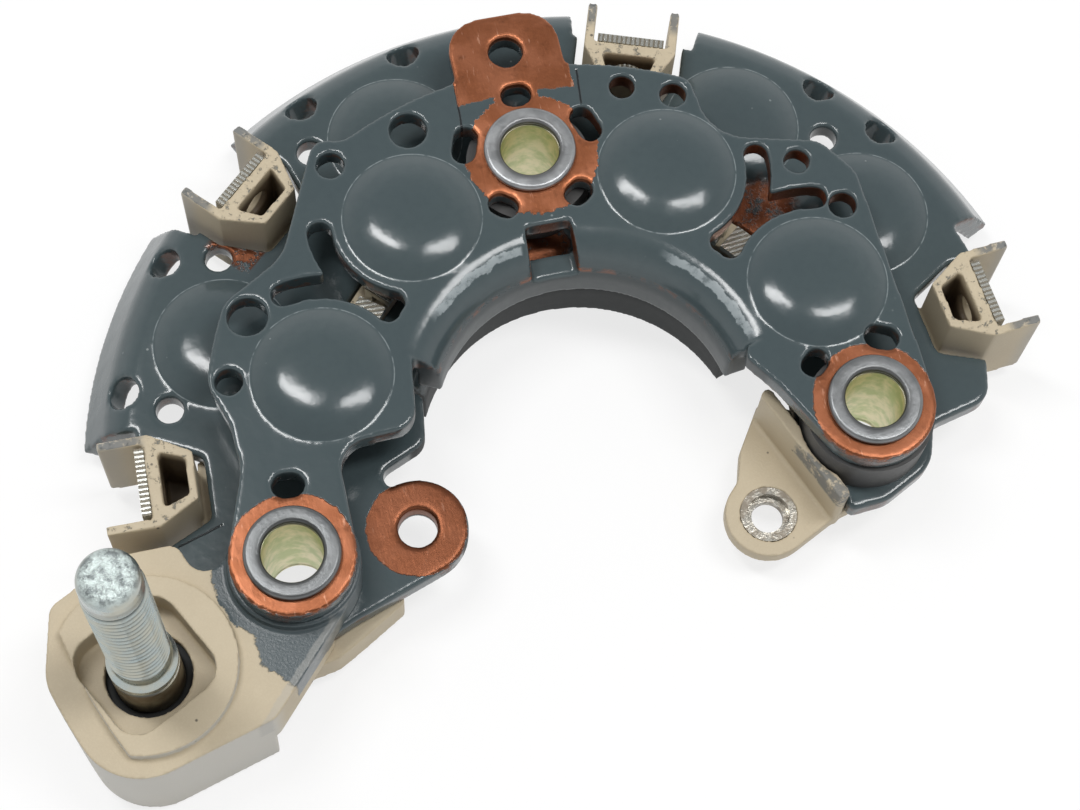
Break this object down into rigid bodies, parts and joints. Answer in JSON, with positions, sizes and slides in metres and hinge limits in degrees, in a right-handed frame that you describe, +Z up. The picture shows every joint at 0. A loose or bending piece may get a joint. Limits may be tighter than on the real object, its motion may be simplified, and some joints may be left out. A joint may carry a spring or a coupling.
{
  "type": "alternator rectifier",
  "caption": "Curved two-deck alternator rectifier with pressed heat sinks, terminal clips, hollow rivets and an upright output stud.",
  "frame": {"origin": "on the alternator's shaft axis, which the curved inner edge is concentric with, at the level of the flat underside", "axes": "+Z up along the shaft axis and the output stud, +Y from the shaft axis through the top rivet, +X to the right clip"},
  "size_m": [0.1036, 0.0777, 0.041],
  "materials": {
    "painted_copper": "glossy slate-grey coating over copper",
    "moulding": "satin beige glass-filled plastic",
    "bush_moulding": "dark moulded plastic",
    "zinc_steel": "zinc-plated steel",
    "insert_metal": "dull plated metal",
    "copper": "bare and tinned copper",
    "diode_resin": "dark cast resin"
  },
  "bodies": {
    "root": {"upper_heat_sink": "painted_copper", "lower_heat_sink": "painted_copper", "terminal_block": "moulding", "stud_boss": "moulding", "output_stud": "zinc_steel", "ear_insert": "insert_metal", "hollow_rivet_left": "zinc_steel", "hollow_rivet_top": "zinc_steel", "hollow_rivet_right": "zinc_steel", "insulating_bush_top": "bush_moulding", "insulating_bush_right": "bush_moulding", "phase_terminal_1": "copper", "upper_diode_1": "diode_resin", "upper_lead_1": "copper", "lower_diode_1": "diode_resin", "lower_lead_1": "copper", "phase_terminal_2": "copper", "upper_diode_2": "diode_resin", "upper_lead_2": "copper", "lower_diode_2": "diode_resin", "lower_lead_2": "copper", "phase_terminal_3": "copper", "upper_diode_3": "diode_resin", "upper_lead_3": "copper", "lower_diode_3": "diode_resin", "lower_lead_3": "copper", "phase_terminal_4": "copper", "upper_diode_4": "diode_resin", "upper_lead_4": "copper", "lower_diode_4": "diode_resin", "lower_lead_4": "copper"}
  },
  "joints": []
}
